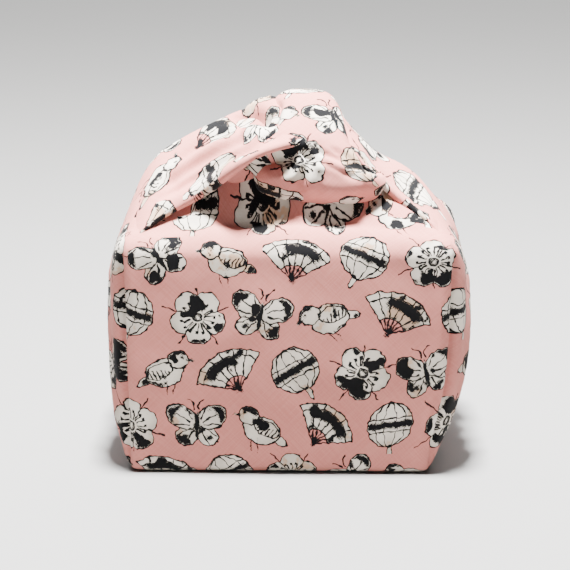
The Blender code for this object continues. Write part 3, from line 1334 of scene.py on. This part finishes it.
@dataclass(frozen=True)
class PrintedCotton:
    """Slubby pink cotton with an inked print of blossoms, birds, fans, butterflies and balls."""

    pink: Linear = (0.510, 0.182, 0.152, 1.0)
    pink_light: Linear = (0.545, 0.208, 0.176, 1.0)
    cream: Linear = (0.700, 0.630, 0.545, 1.0)
    wash: Linear = (0.400, 0.350, 0.290, 1.0)
    tan: Linear = (0.440, 0.260, 0.155, 1.0)
    ink: Linear = (0.0022, 0.0022, 0.0028, 1.0)
    finish: tuple[tuple[str, float], ...] = (
        ("Roughness", 0.86),
        ("Sheen Weight", 0.03),
        ("Sheen Roughness", 0.5),
        ("Specular IOR Level", 0.12),
    )
    pitch: Spot = (33.0, 28.5)
    start: Spot = (50.37, 50.61)
    shift: Spot = (2.4, 1.6)
    swing: float = 1.3
    motif_scale: float = 1.26
    wobble: float = 1.1
    wobble_scale: float = 260.0
    line: float = 0.30
    bias: float = 45.0
    thread: float = 0.00060
    thread_height: float = 0.3
    slub_stretch: Spot = (60.0, 1500.0)
    slub_height: float = 1.8
    bump_strength: float = 0.35
    bump_distance: float = 0.00035

    def build(self) -> bpy.types.Material:
        """Make the material.

        Returns:
            The material.
        """
        material = bpy.data.materials.new("printed_cotton")
        material.use_nodes = True
        nodes = Nodes(material.node_tree)
        shader = material.node_tree.nodes["Principled BSDF"]
        for name, value in self.finish:
            shader.inputs[name].default_value = value
        flat = nodes.add("ShaderNodeUVMap", uv_map=UV_NAME).outputs["UV"]
        slubs = self.slubs(nodes, flat)
        nodes.feed(shader.inputs["Base Color"], self.colour(nodes, flat, slubs))
        nodes.feed(shader.inputs["Normal"], self.weave(nodes, flat, slubs))
        return material

    def slubs(self, nodes: Nodes, flat: Socket) -> Value:
        """Thick and thin threads that cross on the bias.

        Args:
            nodes: The material's nodes.
            flat: The place on the flat cloth.

        Returns:
            A height that swings around 0.5.
        """
        turns = (self.bias, -self.bias)
        one, two = (nodes.grain(flat, 1.0, 2.0, self.slub_stretch, turn) for turn in turns)
        return (one + two) * 0.5

    def weave(self, nodes: Nodes, flat: Socket, slubs: Value) -> Socket:
        """Relief of the threads.

        Args:
            nodes: The material's nodes.
            flat: The place on the flat cloth.
            slubs: The thick and thin threads.

        Returns:
            The normal.
        """
        across, along, _ = nodes.split(nodes.turned(flat, math.radians(self.bias)))
        turns = 2 * math.pi / self.thread
        threads = (across * turns).sine() * (along * turns).sine()
        bump = nodes.add("ShaderNodeBump", self.bump_strength, self.bump_distance)
        nodes.feed(bump.inputs["Height"], threads * self.thread_height + slubs * self.slub_height)
        return bump.outputs["Normal"]

    def cell(self, nodes: Nodes, flat: Socket) -> tuple[Socket, Value]:
        """Lay out the motifs in staggered rows.

        Args:
            nodes: The material's nodes.
            flat: The place on the flat cloth.

        Returns:
            The place from the nearest motif's middle, in millimetres, and the motif's number.
        """
        wide, tall = self.pitch
        sized = nodes.vector("MULTIPLY", flat, (1 / MM / wide, 1 / MM / tall, 0.0))
        across, up, _ = nodes.split(nodes.vector("ADD", sized, (*self.start, 0.0)))
        row = up.floor()
        across = across + nodes.number("FLOORED_MODULO", row, 2.0) * 0.5
        column = across.floor()
        place = nodes.join(across - column - 0.5, up - row - 0.5)
        place = nodes.vector("MULTIPLY", place, (wide, tall, 0.0))

        seed = nodes.join(column, row, 4.0)
        chance = nodes.add("ShaderNodeTexWhiteNoise", seed, noise_dimensions="3D")
        jitter = nodes.vector("SUBTRACT", chance.outputs["Color"], (0.5, 0.5, 0.5))
        shift = nodes.vector("MULTIPLY", jitter, (*self.shift, 0.0))
        place = nodes.turned(nodes.vector("ADD", place, shift), nodes.split(jitter)[2] * self.swing)
        flip = Value(nodes, chance.outputs["Value"]).above(0.5) * -2.0 + 1.0
        size = 1.0 / self.motif_scale
        place = nodes.vector("MULTIPLY", place, nodes.join(flip * size, size))

        tremble = nodes.noise(flat, self.wobble_scale, 1.0).outputs["Color"]
        tremble = nodes.vector("SUBTRACT", tremble, (0.5, 0.5, 0.5))
        tremble = nodes.vector("MULTIPLY", tremble, (self.wobble * 2, self.wobble * 2, 0.0))
        number = nodes.number("FLOORED_MODULO", column + row * 2.0, 5.0)
        return nodes.vector("ADD", place, tremble), number

    def colour(self, nodes: Nodes, flat: Socket, slubs: Value) -> Socket:
        """Paint the print on the pink ground.

        Args:
            nodes: The material's nodes.
            flat: The place on the flat cloth.
            slubs: The thick and thin threads.

        Returns:
            The colour.
        """
        place, number = self.cell(nodes, flat)
        motifs = Motifs(nodes, place)
        drawings = (motifs.blossom, motifs.butterfly, motifs.bird, motifs.fan, motifs.ball)
        chosen = nodes.join(*drawings[0]())
        for index, draw in enumerate(drawings[1:]):
            chosen = nodes.mix("VECTOR", number.above(index + 0.5), chosen, nodes.join(*draw()))
        fill, lines, dark = nodes.split(chosen)

        fine = nodes.grain(flat, 2600.0, 2.0)
        blot = nodes.grain(flat, 95.0, 1.5)
        cloud = nodes.grain(flat, 42.0, 3.0)
        press_in = nodes.grain(flat, 420.0, 2.0)

        ground = nodes.mix("RGBA", slubs.inside(0.16, 0.5), self.pink_light, self.pink)
        inner = nodes.mix("RGBA", cloud.inside(0.3, 0.46), self.cream, self.wash)
        inner = nodes.mix("RGBA", (cloud + press_in * 0.2).inside(0.05, 0.50), inner, self.tan)
        inner = nodes.mix("RGBA", 0.15, inner, self.cream)
        rim = (0.0 - fill).inside(3.4, 1.2) * 0.5 * cloud.inside(0.3, 0.6)
        inner = nodes.mix("RGBA", rim, inner, self.wash)
        colour = nodes.mix("RGBA", fill.inside(0.25), ground, inner)

        speckle = (fine - 0.5) * 2.2 + (slubs - 0.5) * 3.0
        patch = (0.570 - blot) * 26.0 + number.above(3.5) * 3.0
        patch = patch.high(fill + 0.25).low(dark) + speckle
        colour = nodes.mix("RGBA", patch.inside(0.5), colour, self.ink)
        width = press_in * 0.7 - 0.1 + self.line - 0.25
        stroke = (lines - width + (fine - 0.5) * 0.14).inside(0.22)
        return nodes.mix("RGBA", stroke, colour, self.ink)


def main() -> None:
    """Build the dressed wrap in order."""
    logging.basicConfig(level=logging.INFO, format="%(message)s")
    pieces = []
    for part in (Body(SHAPE), LEFT_BAND, RIGHT_BAND, Knot(SHAPE), InnerLayers()):
        piece = part.build()
        LOG.info("%s: %d faces", piece.name, len(piece.data.polygons))
        pieces.append(piece)
    cloth = join("furoshiki_cloth_print", pieces)
    cloth.data.materials.append(PrintedCotton().build())
    LOG.info("%s: %d faces", cloth.name, len(cloth.data.polygons))
    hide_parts(NODE)
    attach(cloth, "root")
    Studio().build()


if __name__ == "__main__":
    main()
